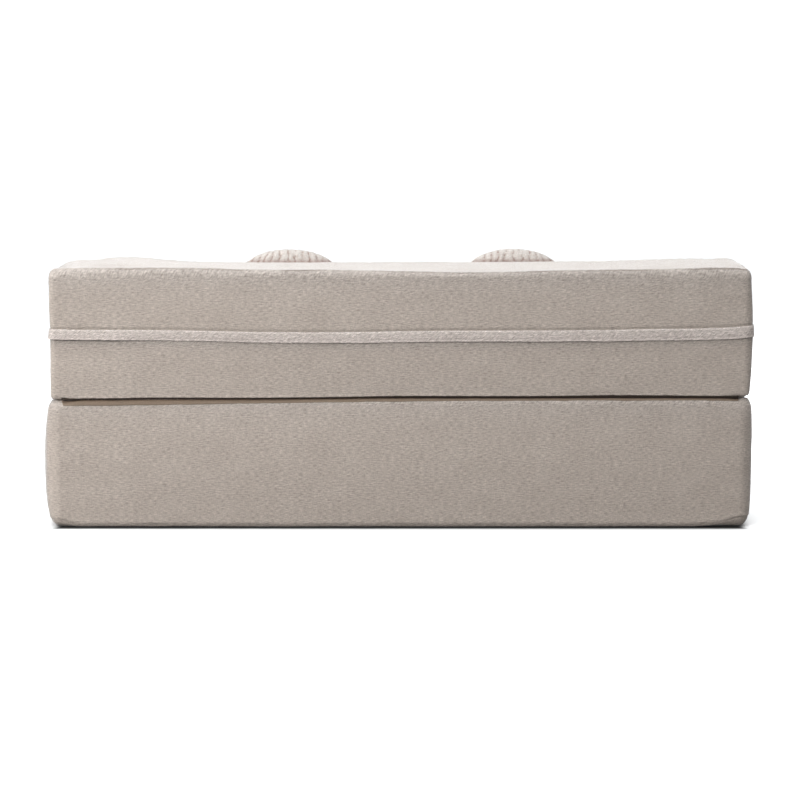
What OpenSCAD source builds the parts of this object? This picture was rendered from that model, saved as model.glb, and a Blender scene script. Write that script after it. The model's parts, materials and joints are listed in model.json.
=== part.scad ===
// Floor sofa bed: a base block, a backrest block on a cloth hinge, and two loose cushions.
// Millimetres. +Z is up, the seat faces -Y, and the origin is on the floor under the middle.

/* [Base] */
// Width of the base over its rounded ends
base_w = 1930; // [1500:10:2300]
// Depth of the base between its front and rear seams
base_d = 850; // [780:10:1100]
// Height of the base from the floor to its top face
base_h = 350; // [260:5:450]
// Radius of the base's upright corners
base_corner_r = 46; // [34:1:70]
// Rounding of the base's top and bottom edges
base_edge_r = 24; // [14:1:30]
// How far the base's front and rear stand out at their middle
base_crown = 5; // [2:0.5:9]
// How far the base's ends stand out at their middle
base_end_crown = 26; // [8:1:32]
// How far the seat rises at its middle
seat_crown = 9; // [3:0.5:16]

/* [Backrest] */
// How far the backrest's ends stand in from the base's ends
back_inset = 27; // [0:1:60]
// Depth of the backrest between its front and rear seams
back_d = 350; // [260:5:450]
// Radius of the backrest's upright corners
back_corner_r = 30; // [22:1:48]
// Rounding of the backrest's top and bottom edges
back_edge_r = 10; // [7:0.5:14]
// How far the backrest's rear and ends stand out at their middle
back_crown = 3; // [1:0.25:5]
// How far the backrest's front stands out at its middle
front_crown = 10; // [3:0.5:18]
// How far the backrest's top rises near its ends
top_crown = 18; // [6:0.5:22]

/* [Covers and foam] */
// Thickness of the upholstery fabric with its backing
cover_t = 2; // [1.5:0.1:3]
// Thickness of the inner liners
liner_t = 1; // [0.6:0.1:1.6]
// Thickness of the soft foam on top of the base's firm foam
seat_foam_t = 90; // [40:5:120]
// Thickness of the soft foam in front of the backrest's firm foam
front_foam_t = 60; // [30:5:90]
// Width of the cover's border under the base, outside the anti-slip sole
border_w = 60; // [45:5:90]

/* [Zips] */
// Height of the flap over the backrest's zip
flap_h = 29; // [22:1:36]
// Thickness of the folded flap
flap_t = 2.6; // [1.6:0.1:3.4]
// How far the flap runs along each end of the backrest
flap_end_l = 90; // [40:5:140]
// Height of the backrest's zip above the middle of its rear
zip_rise = 3; // [-30:1:30]
// Distance from the end of each zip to the end of its block
zip_end = 90; // [70:5:140]
// Length of the pulls on the zips' sliders
pull_l = 26; // [18:1:36]

/* [Hinge] */
// Width of each leaf of the cloth hinge between the blocks
leaf_w = 60; // [40:5:90]
// Thickness of each leaf
leaf_t = 1.2; // [0.8:0.1:1.6]
// Distance from the hinge's ends to the backrest's ends
leaf_end = 30; // [20:5:120]

/* [Cushions] */
// Width of a loose cushion
cushion_w = 410; // [340:5:520]
// Height of a loose cushion
cushion_h = 388; // [300:4:440]
// Thickness of a loose cushion at its middle
cushion_t = 150; // [100:5:190]
// How far a cushion leans back from upright, in degrees
cushion_lean = 20; // [12:1:30]
// Distance of each cushion's middle from the sofa's middle
cushion_x = 316; // [265:1:520]
// Thickness of a cushion's ribbed plush
cushion_cover_t = 4.6; // [3:0.2:6]
// Length of the zip along the bottom of a cushion
cushion_zip_l = 260; // [180:5:300]

/* [Hidden] */
$fn = 32;

// Overrun of every cut
over = 1;
// Play between cloth and foam, and between pieces that lie on each other
fit = 0.3;
// Play over the floor when the backrest is folded down
floor_gap = 1;

// Fineness of the soft blocks: steps round a corner, along a long side, along a short side,
// up an edge, up a side and across a top
arc_steps = 4;
long_steps = 10;
short_steps = 8;
edge_steps = 3;
side_steps = 5;
// Sizes of the rings across a top, as shares of its outline
cap_shares = [0.94, 0.83, 0.69, 0.52, 0.34, 0.14];
// Width of the chamfer on the foam and liners, as a share of the edge rounding outside it
chamfer_share = 0.9;
// Height of the backrest's top rise at mid-width, as a share of its rise near the ends
sag_share = 0.25;
// How square the blocks' ends stay up to their drawn-in seams, as a power
end_power = 4;

// Zip sizes
tape_w = 13;
tape_t = 0.8;
teeth_w = 2;
teeth_t = 1.4;
teeth_gap = 1.6;
slot_h = 11;
slider_l = 12;
slider_w = 8;
plate_t = 1;
bail_l = 6;
bail_w = 1.6;
bail_bar = 0.8;
bail_room = 1.4;
pull_w = 5.6;
pull_t = 1;
pull_eye_l = 3.6;
pull_eye_w = 2.8;
pull_bar = 1.2;
pull_end_r = 2.8;
stop_l = 3;
// Height of the flap above the middle of the zip
flap_above = 8;
// How much further the flap stands off at its free edge than at its seam
flap_lift = 3;
// Bevel of the flap's folded edges
flap_bevel = 0.8;
// Radius of the piping round which the hinge turns
piping_r = 1.5;

// Width of the zip along the bottom of a cushion
cushion_zip_w = 14;
// Depth of the flat strip of seat in front of the backrest
seat_flat = 100;
// Rounding powers of a cushion's outline and of its thickness
cushion_corner = 2.1;
cushion_swell = 2.5;
cushion_edge = 0.6;
cushion_steps = 32;
// Sizes of the rings of a cushion from its middle to its edge, as shares of its outline
cushion_shares = [0.25, 0.5, 0.7, 0.85, 0.95];

// Depths that follow from the fold: the flap has to clear the base when the backrest lies behind it
flap_out = back_crown + fit + flap_lift + flap_t;
hinge_out = (flap_out + base_crown + 2 * fit) / 2;
rear_out = max(flap_out, hinge_out + piping_r, base_crown);
rear_y = (base_d + base_crown - rear_out) / 2;
front_y = rear_y - base_d;
base_y = (rear_y + front_y) / 2;

base_seam_w = base_w - 2 * base_end_crown;
back_w = base_w - 2 * back_inset - 2 * back_crown;
back_h = base_h - top_crown - floor_gap;
back_z = base_h + fit;
back_front_y = rear_y - back_d;
back_y = rear_y - back_d / 2;
axis_y = rear_y + hinge_out;
axis_z = base_h + fit / 2;

zip_plane = cover_t + tape_t / 2 + fit;
zip_span = teeth_gap / 2 + teeth_w + tape_w;
zip_depth = teeth_t / 2 + fit + plate_t;
back_zip_l = back_w - 2 * zip_end;
back_zip_z = back_z + back_h / 2 + zip_rise;
sole_w = base_seam_w - 2 * border_w;
sole_d = base_d - 2 * border_w;
base_zip_l = base_seam_w - 2 * zip_end - 2 * border_w;
base_zip_y = rear_y - border_w - slot_h / 2;
leaf_l = back_w - 2 * leaf_end;

// Places and travels of the joints, printed for whoever sets them up
echo(fold_axis = [axis_y, axis_z]);

// Rounded rectangle of half sizes a and b, as points that also divide its straight sides
function outline(a, b, r) = [
    for (q = [0 : 3])
        let (sx = q == 0 || q == 3 ? 1 : -1,
             sy = q < 2 ? 1 : -1,
             steps = q % 2 == 0 ? long_steps : short_steps,
             here = [sx * (a - r), sy * (b - r)],
             next = q % 2 == 0 ? [-here.x, here.y] : [here.x, -here.y],
             out = r * [cos(90 * (q + 1)), sin(90 * (q + 1))])
            for (i = [0 : arc_steps + steps - 1])
                i <= arc_steps
                    ? here + r * [cos(90 * (q + i / arc_steps)), sin(90 * (q + i / arc_steps))]
                    : here + out + (next - here) * (i - arc_steps) / steps];

// How full a face is at a share t of its half length: 1 at the middle, 0 at its seam
function full(t, power) = 1 - pow(min(1, abs(t)), power);

// A point of an outline, pushed out by the crowns of the end, front and rear faces. t is its height
// on its side face, from -1 at the lower seam to 1 at the upper one.
function swollen(p, a, b, crowns, t) = [
    p.x + sign(p.x) * crowns[0] * full(t, end_power) * full(p.y / b, 4) * pow(abs(p.x / a), 8),
    p.y + sign(p.y) * crowns[p.y < 0 ? 1 : 2] * full(t, 2) * full(p.x / a, 6) * pow(abs(p.y / b), 8)];

// Closed block of foam in a cover: rings of points up its sides, then smaller ones across its top.
// rise(x, y) is how far its top stands up, and focus_y is where the top's rings close.
module soft_block(w, d, h, r, e, crowns, rise, focus_y) {
    a = w / 2;
    b = d / 2;
    levels = concat(
        [for (i = [0 : edge_steps]) let (t = 90 * i / edge_steps) [e * (1 - sin(t)), e * (1 - cos(t)), 0]],
        [for (i = [1 : side_steps - 1]) [0, e + (h - 2 * e) * i / side_steps, 0]],
        [for (i = [0 : edge_steps]) let (t = 90 * i / edge_steps) [e * (1 - cos(t)), h - e * (1 - sin(t)), sin(t)]]);
    sides = [for (l = levels)
        for (p = outline(a - l[0], b - l[0], r - l[0]))
            let (s = swollen(p, a, b, crowns, 2 * l[1] / h - 1))
                [s.x, s.y, l[1] + l[2] * rise(s.x, s.y)]];
    top = [for (k = cap_shares)
        for (p = outline(a - e, b - e, r - e))
            let (x = k * p.x, y = focus_y + k * (p.y - focus_y))
                [x, y, h + rise(x, y)]];
    n = len(outline(a, b, r));
    rings = concat(sides, top);
    m = len(rings) / n;
    points = concat(rings, [[0, 0, 0], [0, focus_y, h + rise(0, focus_y)]]);
    polyhedron(points, concat(
        tube_faces(n, m),
        [for (j = [0 : n - 1]) [n * m, j, (j + 1) % n]],
        [for (j = [0 : n - 1]) [n * m + 1, n * (m - 1) + (j + 1) % n, n * (m - 1) + j]]), convexity = 4);
}

// Triangles between m rings of n points each, seen from outside
function tube_faces(n, m) = [
    for (i = [0 : m - 2], j = [0 : n - 1], half = [0, 1])
        let (p = i * n + j, q = i * n + (j + 1) % n)
            half == 0 ? [p, p + n, q + n] : [p, q + n, q]];

// Rise of the seat at a point of the base's top: a low crown that ends in front of the backrest
function seat_rise(x, y) =
    let (t = (y + base_d / 2) / (base_d - back_d - seat_flat))
        t <= 0 || t >= 1 ? 0 : seat_crown * full(2 * x / base_seam_w, 6) * pow(4 * t * (1 - t), 2);

// Rise of the backrest's top, which is puffed near both ends and lower at mid-width
function back_rise(x, y) =
    let (s = abs(2 * x / back_w))
        top_crown * full(s, 10) * full(2 * y / back_d, 4) * (sag_share + 2 * (1 - sag_share) * pow(s, 3));

// Plate with round corners
module plate(w, d, r) {
    square([w - 2 * r, d], center = true);
    square([w, d - 2 * r], center = true);
    for (sx = [-1, 1], sy = [-1, 1])
        translate([sx * (w / 2 - r), sy * (d / 2 - r)])
            circle(r);
}

// Block that fills a cover at a distance in from its faces, with chamfered edges
module core(w, d, h, r, e, gap) {
    c = chamfer_share * e;
    hull() {
        translate([0, 0, gap])
            linear_extrude(h - 2 * gap)
                plate(w - 2 * gap - 2 * c, d - 2 * gap - 2 * c, r - gap - c);
        translate([0, 0, gap + c])
            linear_extrude(h - 2 * gap - 2 * c)
                plate(w - 2 * gap, d - 2 * gap, r - gap);
    }
}

module base_core(gap) {
    translate([0, base_y, 0])
        core(base_seam_w, base_d, base_h, base_corner_r, base_edge_r, gap);
}

module back_core(gap) {
    translate([0, back_y, back_z])
        core(back_w, back_d, back_h, back_corner_r, back_edge_r, gap);
}

// Places its children with their outward side, which is +Y, on the zip of one of the blocks
module at_back_zip() {
    translate([0, rear_y - zip_plane, back_zip_z])
        children();
}

module at_base_zip() {
    translate([0, base_zip_y, zip_plane])
        rotate([-90, 0, 0])
            children();
}

// Both tapes of a zip, each behind one edge of its slot
module tapes(l) {
    for (s = [-1, 1])
        translate([0, 0, s * (teeth_gap / 2 + teeth_w + tape_w / 2)])
            cube([l, tape_t, tape_w], center = true);
}

// Both rows of teeth, as beads along the tapes
module teeth(l) {
    for (s = [-1, 1])
        translate([0, 0, s * (teeth_gap + teeth_w) / 2])
            cube([l - 2 * stop_l, teeth_t, teeth_w], center = true);
}

module stops(l) {
    for (s = [-1, 1])
        translate([s * (l - stop_l) / 2, 0, 0])
            cube([stop_l, teeth_t, teeth_gap + 2 * teeth_w], center = true);
}

// Slider at its place by the right-hand stop: two plates on a neck
module slider(l) {
    room = teeth_t + 2 * fit;
    translate([slider_x(l), 0, 0]) {
        for (s = [-1, 1])
            translate([0, s * (room + plate_t) / 2, 0])
                cube([slider_l, plate_t, slider_w], center = true);
        cube([slider_l - 2 * stop_l, room + plate_t, teeth_gap - 2 * fit], center = true);
    }
}

// Bail on the slider's outer plate, for the pull
module bail(l) {
    translate([slider_x(l) - bail_l / 2, zip_depth - plate_t / 2, -bail_w / 2])
        difference() {
            cube([bail_l, plate_t / 2 + bail_room + bail_bar, bail_w]);
            translate([pull_bar, plate_t / 2, -over])
                cube([bail_l - 2 * pull_bar, bail_room, bail_w + 2 * over]);
        }
}

function slider_x(l) = l / 2 - stop_l - fit - slider_l / 2;

// Pull that lies along the zip, with its crossbar under the bail
module pull(l) {
    translate([slider_x(l) + pull_bar / 2, zip_depth + (bail_room - pull_t) / 2, 0])
        rotate([90, 0, 180])
            linear_extrude(pull_t)
                difference() {
                    union() {
                        translate([0, -pull_w / 2])
                            square([pull_l - pull_end_r, pull_w]);
                        translate([pull_l - pull_end_r, 0])
                            circle(pull_end_r);
                    }
                    translate([pull_bar, -pull_eye_w / 2])
                        square([pull_eye_l, pull_eye_w]);
                }
}

// Section of the flap: x is the distance from the face, y is the height from its seam down
module flap_section() {
    polygon([[0, 0], [flap_t - flap_bevel, 0], [flap_t, -flap_bevel],
             [flap_t + flap_lift, flap_bevel - flap_h], [flap_t + flap_lift - flap_bevel, -flap_h],
             [flap_lift + flap_bevel, -flap_h], [flap_lift, flap_bevel - flap_h], [0, -flap_above]]);
}

// End of the flap, which goes round the right-hand rear corner and along the end
module flap_end() {
    translate([back_w / 2 - back_corner_r, rear_y - back_corner_r, back_zip_z + flap_above]) {
        rotate_extrude(angle = 90)
            translate([back_corner_r + back_crown + fit, 0])
                flap_section();
        translate([back_corner_r + back_crown + fit, 0, 0])
            rotate([90, 0, 0])
                linear_extrude(flap_end_l)
                    flap_section();
    }
}

// Room for the zip's tapes and slider in the liner and the foam behind them
module zip_channel(l) {
    cube([l + 2 * fit, tape_t + 2 * fit, 2 * (zip_span + fit)], center = true);
    cube([l + 2 * fit, 2 * (zip_depth + fit), slider_w + 2 * fit], center = true);
}

module base_cover() {
    color("#b3a89e")
        difference() {
            translate([0, base_y, 0])
                soft_block(base_seam_w, base_d, base_h, base_corner_r, base_edge_r,
                           [base_end_crown, base_crown, base_crown],
                           function(x, y) seat_rise(x, y), -(back_d + seat_flat) / 2);
            base_core(cover_t);
            translate([0, base_y, -over])
                linear_extrude(cover_t + 2 * over)
                    plate(sole_w, sole_d, base_corner_r - base_edge_r);
            translate([-leaf_l / 2, rear_y - leaf_w, base_h - leaf_t])
                cube([leaf_l, leaf_w + base_crown + over, leaf_t + over]);
        }
}

module base_liner() {
    color("#e9e6e0")
        difference() {
            base_core(cover_t + fit);
            base_core(cover_t + fit + liner_t);
            at_base_zip()
                zip_channel(base_zip_l);
        }
}

module base_layer(z0, z1) {
    intersection() {
        base_core(cover_t + liner_t + 2 * fit);
        translate([-base_w / 2, front_y, z0])
            cube([base_w, base_d, z1 - z0]);
    }
}

module base_firm_foam() {
    color("#d9d2a6")
        difference() {
            base_layer(0, base_h - seat_foam_t);
            at_base_zip()
                zip_channel(base_zip_l);
        }
}

module base_soft_foam() {
    color("#efe9d8")
        base_layer(base_h - seat_foam_t, base_h);
}

module anti_slip_sole() {
    color("#4a4846")
        translate([0, base_y - slot_h / 2, 0])
            linear_extrude(cover_t)
                plate(sole_w - 2 * fit, sole_d - 2 * fit - slot_h, base_corner_r - base_edge_r - fit);
}

module hinge_leaf_base() {
    color("#8f857c") {
        translate([-leaf_l / 2 + fit, rear_y - leaf_w + fit, base_h - leaf_t])
            cube([leaf_l - 2 * fit, leaf_w - fit + hinge_out, leaf_t]);
        translate([-leaf_l / 2 + fit, axis_y, axis_z])
            rotate([0, 90, 0])
                cylinder(h = leaf_l - 2 * fit, r = piping_r);
    }
}

module hinge_leaf_backrest() {
    color("#8f857c")
        translate([-leaf_l / 2 + fit, rear_y - leaf_w + fit, back_z])
            cube([leaf_l - 2 * fit, leaf_w - 2 * fit + hinge_out - piping_r, leaf_t]);
}

module backrest_cover() {
    color("#b9aea4")
        difference() {
            translate([0, back_y, back_z])
                soft_block(back_w, back_d, back_h, back_corner_r, back_edge_r,
                           [back_crown, front_crown, back_crown],
                           function(x, y) back_rise(x, y), 0);
            back_core(cover_t);
            translate([-back_zip_l / 2, rear_y - cover_t - over, back_zip_z - slot_h / 2])
                cube([back_zip_l, cover_t + back_crown + 2 * over, slot_h]);
            translate([-leaf_l / 2, rear_y - leaf_w, back_z - over])
                cube([leaf_l, leaf_w + back_crown + over, leaf_t + over]);
        }
}

module backrest_liner() {
    color("#e9e6e0")
        difference() {
            back_core(cover_t + fit);
            back_core(cover_t + fit + liner_t);
            at_back_zip()
                zip_channel(back_zip_l);
        }
}

module back_layer(y0, y1) {
    intersection() {
        back_core(cover_t + liner_t + 2 * fit);
        translate([-back_w / 2, y0, back_z])
            cube([back_w, y1 - y0, back_h]);
    }
}

module backrest_firm_foam() {
    color("#d9d2a6")
        difference() {
            back_layer(back_front_y + front_foam_t, rear_y);
            at_back_zip()
                zip_channel(back_zip_l);
        }
}

module backrest_soft_foam() {
    color("#efe9d8")
        back_layer(back_front_y, back_front_y + front_foam_t);
}

module zip_flap_rear() {
    color("#c6bcb3")
        translate([0, rear_y + back_crown + fit, back_zip_z + flap_above])
            rotate([90, 0, 90])
                linear_extrude(back_w - 2 * back_corner_r - 2 * fit, center = true)
                    flap_section();
}

module zip_flap_right() {
    color("#c6bcb3")
        flap_end();
}

module zip_flap_left() {
    color("#c6bcb3")
        mirror([1, 0, 0])
            flap_end();
}

// Ring of a cushion's points in its front or rear, at a share of the outline of half sizes a and b
function cushion_ring(a, b, share, y) = [
    for (i = [0 : cushion_steps - 1])
        let (t = 360 * i / cushion_steps)
            [share * a * sign(cos(t)) * pow(abs(cos(t)), 2 / cushion_corner), y,
             share * b * sign(sin(t)) * pow(abs(sin(t)), 2 / cushion_corner)]];

// Points of an upright cushion of half sizes a, b and c that faces -Y
function cushion_points(a, b, c) =
    let (depth = function(s) c * pow(full(s, cushion_swell), cushion_edge),
         n = len(cushion_shares),
         rings = concat(
             [for (s = cushion_shares) cushion_ring(a, b, s, depth(s))],
             [cushion_ring(a, b, 1, 0)],
             [for (i = [n - 1 : -1 : 0]) cushion_ring(a, b, cushion_shares[i], -depth(cushion_shares[i]))]))
        concat([for (r = rings) each r], [[0, c, 0], [0, -c, 0]]);

// Closed cushion, less inset from every face
module cushion_form(inset) {
    n = cushion_steps;
    m = 2 * len(cushion_shares) + 1;
    polyhedron(cushion_points(cushion_w / 2 - inset, cushion_h / 2 - inset, cushion_t / 2 - inset), concat(
        tube_faces(n, m),
        [for (j = [0 : n - 1]) [n * m, j, (j + 1) % n]],
        [for (j = [0 : n - 1]) [n * m + 1, n * (m - 1) + (j + 1) % n, n * (m - 1) + j]]), convexity = 4);
}

// A cushion's points once it leans back, beside the sofa's middle
function leaning(points) = [for (p = points)
    [p.x + cushion_x,
     p.y * cos(cushion_lean) + p.z * sin(cushion_lean),
     p.z * cos(cushion_lean) - p.y * sin(cushion_lean)]];

cushion_leaning = leaning(cushion_points(cushion_w / 2, cushion_h / 2, cushion_t / 2));

// Front of the backrest at a point
function back_face_y(x, z) =
    back_front_y - front_crown * full(2 * x / back_w, 6) * full(2 * (z - back_z) / back_h - 1, 2);
// How far back the middle of a cushion can lie when it is at height z, just clear of the backrest
function cushion_y_at(z) = min([for (p = cushion_leaning) back_face_y(p.x, p.z + z) - p.y]) - fit;
// How low the middle of a cushion can lie when it is at depth y, just clear of the seat
function cushion_z_at(y) = max([for (p = cushion_leaning) base_h + seat_rise(p.x, p.y + y - base_y) - p.z]) + fit;

cushion_z = cushion_z_at(cushion_y_at(cushion_z_at(back_front_y - cushion_t)));
cushion_y = cushion_y_at(cushion_z);

// Line about which a cushion can lie down until it is flat on the seat
cushion_axis_z = base_h + cushion_t / 2 + 4 * fit;
cushion_axis_y = cushion_y - (cushion_z - cushion_axis_z) * tan(cushion_lean);
echo(cushion_axis = [cushion_axis_y, cushion_axis_z], cushion_middle = [cushion_y, cushion_z]);
echo(base_zip_travel = 2 * slider_x(base_zip_l),
     backrest_zip_travel = slider_x(back_zip_l) + back_zip_l / 2 - pull_l + pull_bar / 2 - fit);

module lean(side) {
    translate([side * cushion_x, cushion_y, cushion_z])
        rotate([-cushion_lean, 0, 0])
            children();
}

// Stretch of a cushion's bottom seam that its zip closes
module seam_stretch(l, w) {
    translate([-l / 2, -w / 2, -cushion_h / 2 - over])
        cube([l, w, cushion_h / 2]);
}

module cushion_skin() {
    difference() {
        cushion_form(0);
        cushion_form(cushion_cover_t);
    }
}

module cushion_cover(side) {
    color("#ded6cd")
        lean(side)
            difference() {
                cushion_skin();
                seam_stretch(cushion_zip_l, cushion_zip_w);
            }
}

// Closed zip with its tapes, in the seam along the bottom of a cushion
module cushion_zip(side) {
    color("#8f857c")
        lean(side)
            intersection() {
                cushion_skin();
                seam_stretch(cushion_zip_l - 2 * fit, cushion_zip_w - 2 * fit);
            }
}

module cushion_filling(side) {
    color("#f3f1ec")
        lean(side)
            cushion_form(cushion_cover_t + fit);
}

module base_zip_tapes() {
    color("#9a9087")
        at_base_zip()
            tapes(base_zip_l);
}

module base_zip_teeth() {
    color("#8a8178")
        at_base_zip()
            teeth(base_zip_l);
}

module base_zip_stops() {
    color("#b9bcc0")
        at_base_zip()
            stops(base_zip_l);
}

module base_zip_slider() {
    color("#b9bcc0")
        at_base_zip()
            slider(base_zip_l);
}

module backrest_zip_tapes() {
    color("#9a9087")
        at_back_zip()
            tapes(back_zip_l);
}

module backrest_zip_teeth() {
    color("#8a8178")
        at_back_zip()
            teeth(back_zip_l);
}

module backrest_zip_stops() {
    color("#b9bcc0")
        at_back_zip()
            stops(back_zip_l);
}

module backrest_zip_slider() {
    color("#b9bcc0")
        at_back_zip() {
            slider(back_zip_l);
            bail(back_zip_l);
        }
}

module backrest_zip_pull() {
    color("#b9bcc0")
        at_back_zip()
            pull(back_zip_l);
}

base_cover();
base_liner();
base_firm_foam();
base_soft_foam();
anti_slip_sole();
base_zip_tapes();
base_zip_teeth();
base_zip_stops();
base_zip_slider();
hinge_leaf_base();
hinge_leaf_backrest();
backrest_cover();
backrest_liner();
backrest_firm_foam();
backrest_soft_foam();
zip_flap_rear();
zip_flap_left();
zip_flap_right();
backrest_zip_tapes();
backrest_zip_teeth();
backrest_zip_stops();
backrest_zip_slider();
backrest_zip_pull();
cushion_cover(-1);  // cushion_left_cover
cushion_zip(-1);  // cushion_left_zip
cushion_filling(-1);  // cushion_left_filling
cushion_cover(1);  // cushion_right_cover
cushion_zip(1);  // cushion_right_zip
cushion_filling(1);  // cushion_right_filling
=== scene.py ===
"""Looks of the floor sofa bed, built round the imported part.

Metres, +Z up. The seat faces -Y, the photograph looks at the rear, and the left of the photograph is +X.
"""
import json
import math

import bmesh
import bpy
import numpy as np
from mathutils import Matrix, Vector
from mathutils.bvhtree import BVHTree


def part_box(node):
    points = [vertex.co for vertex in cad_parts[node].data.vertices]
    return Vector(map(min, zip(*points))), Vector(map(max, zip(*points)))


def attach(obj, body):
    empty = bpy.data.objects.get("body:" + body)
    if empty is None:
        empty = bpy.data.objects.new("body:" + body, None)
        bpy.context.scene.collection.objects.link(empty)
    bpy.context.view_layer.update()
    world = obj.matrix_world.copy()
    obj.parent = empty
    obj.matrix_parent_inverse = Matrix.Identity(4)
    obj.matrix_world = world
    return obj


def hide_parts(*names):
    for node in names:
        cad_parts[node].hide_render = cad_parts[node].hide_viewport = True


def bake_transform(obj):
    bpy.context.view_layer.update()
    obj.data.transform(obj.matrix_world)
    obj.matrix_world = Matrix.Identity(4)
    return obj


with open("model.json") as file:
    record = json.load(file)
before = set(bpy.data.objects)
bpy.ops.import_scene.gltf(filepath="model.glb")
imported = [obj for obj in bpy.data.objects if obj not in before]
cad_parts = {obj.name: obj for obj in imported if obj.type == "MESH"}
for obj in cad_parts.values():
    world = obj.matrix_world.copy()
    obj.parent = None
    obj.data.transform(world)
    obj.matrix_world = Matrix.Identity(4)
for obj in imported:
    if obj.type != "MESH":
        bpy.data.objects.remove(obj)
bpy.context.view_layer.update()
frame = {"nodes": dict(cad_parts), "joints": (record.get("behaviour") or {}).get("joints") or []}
scene = bpy.context.scene
MM = 0.001

# Sizes in the part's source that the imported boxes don't hold
COVER_T = 2 * MM
FIT = 0.3 * MM
BORDER_W = 60 * MM
CUSHION_SIZE = (410 * MM, 150 * MM, 388 * MM)
CUSHION_LEAN = math.radians(20)

# Sizes of the dressed blocks
BASE_CORNER_R = 30 * MM
BACK_CORNER_R = 18 * MM
BASE_TOP_EDGE_R = 20 * MM
ZIP_SLOT_H = 9 * MM
PIPING_R = 1.5 * MM
SEAT_FLAT = 100 * MM
LIP_DROP = 2 * MM
FLAP_T = 2.6 * MM
FACING_T = 0.9 * MM


def seam_box(liner):
    """Corners of a block between its seams, from the liner that lies just inside its cover."""
    low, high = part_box(liner)
    shell = Vector((1, 1, 1)) * (COVER_T + FIT)
    return np.array(low - shell), np.array(high + shell)


# Smooth noise

def hashed(cell, seed):
    """A number from -1 to 1 for each row of three whole numbers."""
    h = cell[:, 0] * 374761393 + cell[:, 1] * 668265263 + cell[:, 2] * 1274126177 + seed * 265443576
    h = ((h ^ (h >> 13)) & 0xFFFFFFFF) * 1274126177 & 0xFFFFFFFF
    return ((h ^ (h >> 16)) & 0xFFFFFFFF) / 0x7FFFFFFF - 1.0


def noise(x, y, z, seed):
    """Smooth noise from -1 to 1 with features about one unit wide."""
    p = np.stack(np.broadcast_arrays(x, y, z), axis=1).astype(float)
    cell = np.floor(p).astype(np.int64)
    f = p - cell
    u = f * f * f * (f * (f * 6 - 15) + 10)
    total = np.zeros(len(p))
    for corner in range(8):
        step = np.array([corner & 1, corner >> 1 & 1, corner >> 2 & 1])
        total += np.prod(np.where(step, u, 1 - u), axis=1) * hashed(cell + step, seed)
    return total


def uneven(x, y, z, layers):
    """Sum of noises, from their heights, their sizes along x, y and z, and their seeds."""
    return sum(height * noise(x / size[0], y / size[1], z / size[2], seed) for height, size, seed in layers)


def ripple(t, size, seed, row=0.0):
    """Noise along a line."""
    return noise(t / size, 0 * t + row, 0, seed)


def full(t, power):
    """1 at the middle of a face, 0 at its seam."""
    return 1 - np.minimum(1, np.abs(t)) ** power


def bell(t):
    return np.exp(-t * t)


def smooth(t):
    t = np.clip(t, 0, 1)
    return t * t * (3 - 2 * t)


def curve(x, stops):
    """Smooth curve through (place, height) stops."""
    places, heights = np.array(stops, float).T
    slopes = np.gradient(heights, places)
    x = np.clip(x, places[0], places[-1])
    k = np.clip(np.searchsorted(places, x) - 1, 0, len(places) - 2)
    step = places[k + 1] - places[k]
    t = (x - places[k]) / step
    return ((1 + 2 * t) * (1 - t) ** 2 * heights[k] + t * t * (3 - 2 * t) * heights[k + 1]
            + step * t * (1 - t) * ((1 - t) * slopes[k] - t * slopes[k + 1]))


# Meshes

def shade_smooth(mesh):
    mesh.polygons.foreach_set("use_smooth", [True] * len(mesh.polygons))


def new_mesh(name, points, faces):
    """Smooth-shaded object from rows of points and of faces."""
    mesh = bpy.data.meshes.new(name)
    mesh.from_pydata(np.asarray(points, float).tolist(), [], np.asarray(faces).tolist())
    mesh.update()
    shade_smooth(mesh)
    obj = bpy.data.objects.new(name, mesh)
    scene.collection.objects.link(obj)
    return obj


def add_cloth(obj, cloth):
    """Where each point lies on the flat cloth, in metres. Materials read it."""
    data = obj.data.attributes.new("cloth", "FLOAT_VECTOR", "POINT")
    data.data.foreach_set("vector", np.asarray(cloth, np.float32).ravel())


def add_number(obj, name, values):
    """A number for each point. Materials read it by its name."""
    data = obj.data.attributes.new(name, "FLOAT", "POINT")
    data.data.foreach_set("value", np.asarray(values, np.float32))


def normals(points, faces):
    """Unit normal at each point, from the faces round it."""
    a, b, c, d = (points[faces[:, k]] for k in range(4))
    flat = np.cross(c - a, d - b)
    out = np.zeros_like(points)
    for k in range(4):
        np.add.at(out, faces[:, k], flat)
    return out / np.maximum(np.linalg.norm(out, axis=1, keepdims=True), 1e-12)


def hem(obj, step):
    """Turns the cloth in at its open edges, by one step."""
    work = bmesh.new()
    work.from_mesh(obj.data)
    made = bmesh.ops.extrude_edge_only(work, edges=[e for e in work.edges if e.is_boundary])
    turned = [v for v in made["geom"] if isinstance(v, bmesh.types.BMVert)]
    bmesh.ops.translate(work, vec=step, verts=turned)
    work.to_mesh(obj.data)
    work.free()
    shade_smooth(obj.data)


def close_ends(obj):
    """Fills the open ends of a tube."""
    work = bmesh.new()
    work.from_mesh(obj.data)
    bmesh.ops.holes_fill(work, edges=[e for e in work.edges if e.is_boundary], sides=0)
    bmesh.ops.recalc_face_normals(work, faces=work.faces[:])
    work.to_mesh(obj.data)
    work.free()
    shade_smooth(obj.data)


def new_tube(name, rows):
    """Tube with filled ends, from the rows of points that run along it, in order round it."""
    index = np.arange(rows.shape[0] * rows.shape[1]).reshape(rows.shape[:2])
    ahead = np.roll(index, -1, axis=0)
    faces = np.stack([index[:, :-1], index[:, 1:], ahead[:, 1:], ahead[:, :-1]], axis=-1).reshape(-1, 4)
    obj = new_mesh(name, rows.reshape(-1, 3), faces)
    close_ends(obj)
    return obj


def lengths(points):
    """Distance of each point from the first, along the line through them."""
    return np.concatenate([[0], np.cumsum(np.linalg.norm(np.diff(points, axis=0), axis=1))])


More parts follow.
